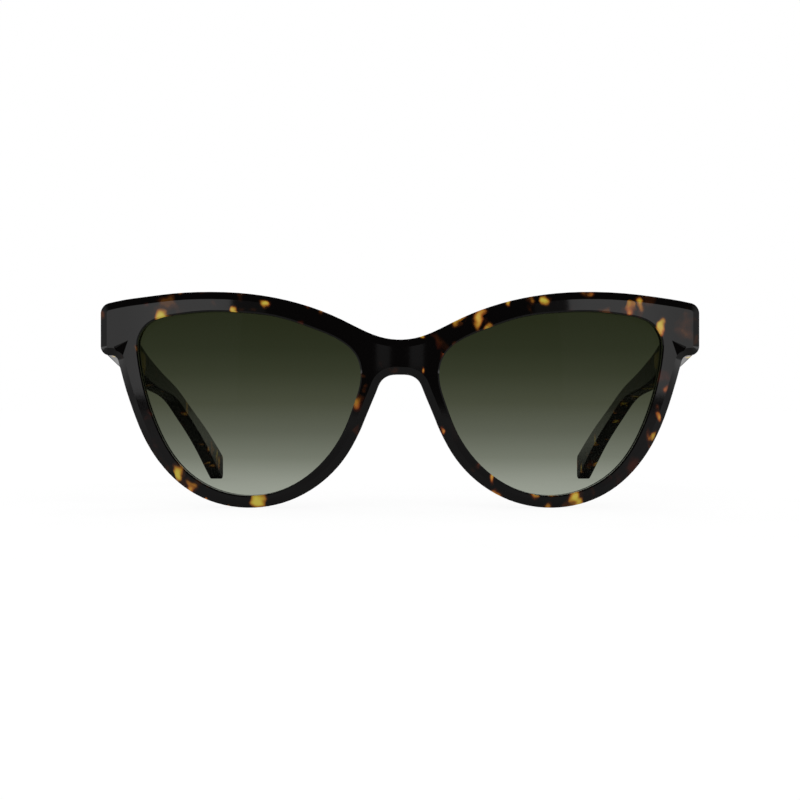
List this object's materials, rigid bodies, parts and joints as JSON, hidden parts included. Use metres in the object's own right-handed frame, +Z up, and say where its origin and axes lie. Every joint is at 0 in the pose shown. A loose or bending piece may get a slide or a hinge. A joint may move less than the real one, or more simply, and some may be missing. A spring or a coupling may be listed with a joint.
{
  "type": "cat eye sunglasses",
  "caption": "Cat eye sunglasses: bevelled tortoiseshell acetate front with upswept corners, graduated tinted lenses, bonded nose pads and folding temples on metal barrel hinges.",
  "frame": {"origin": "on the surface the pair stands on, under the centre of its outline with the temples open", "axes": "+Z up through the brow, -Y the way the wearer looks, +X towards the wearer's left"},
  "size_m": [0.145, 0.1474, 0.0515],
  "materials": {
    "acetate": "polished",
    "lens_tint": "graduated tint",
    "gold_metal": "polished",
    "core_metal": "brushed"
  },
  "bodies": {
    "front": {"front_frame": "acetate", "lens_left": "lens_tint", "nose_pad_left": "acetate", "front_hinge_left": "gold_metal", "hinge_screw_left": "gold_metal", "lens_right": "lens_tint", "nose_pad_right": "acetate", "front_hinge_right": "gold_metal", "hinge_screw_right": "gold_metal"},
    "temple_left": {"temple_left": "acetate", "temple_core_left": "core_metal", "temple_hinge_left": "gold_metal"},
    "temple_right": {"temple_right": "acetate", "temple_core_right": "core_metal", "temple_hinge_right": "gold_metal"}
  },
  "joints": [
    {"name": "left_fold", "type": "hinge", "parent": "front", "child": "temple_left", "pos_m": [0.0662, -0.0581, 0], "axis": [0, 0, 1], "range_deg": [0, 88]},
    {"name": "right_fold", "type": "hinge", "parent": "front", "child": "temple_right", "pos_m": [-0.0662, -0.0581, 0], "axis": [0, 0, -1], "range_deg": [0, 83]}
  ]
}
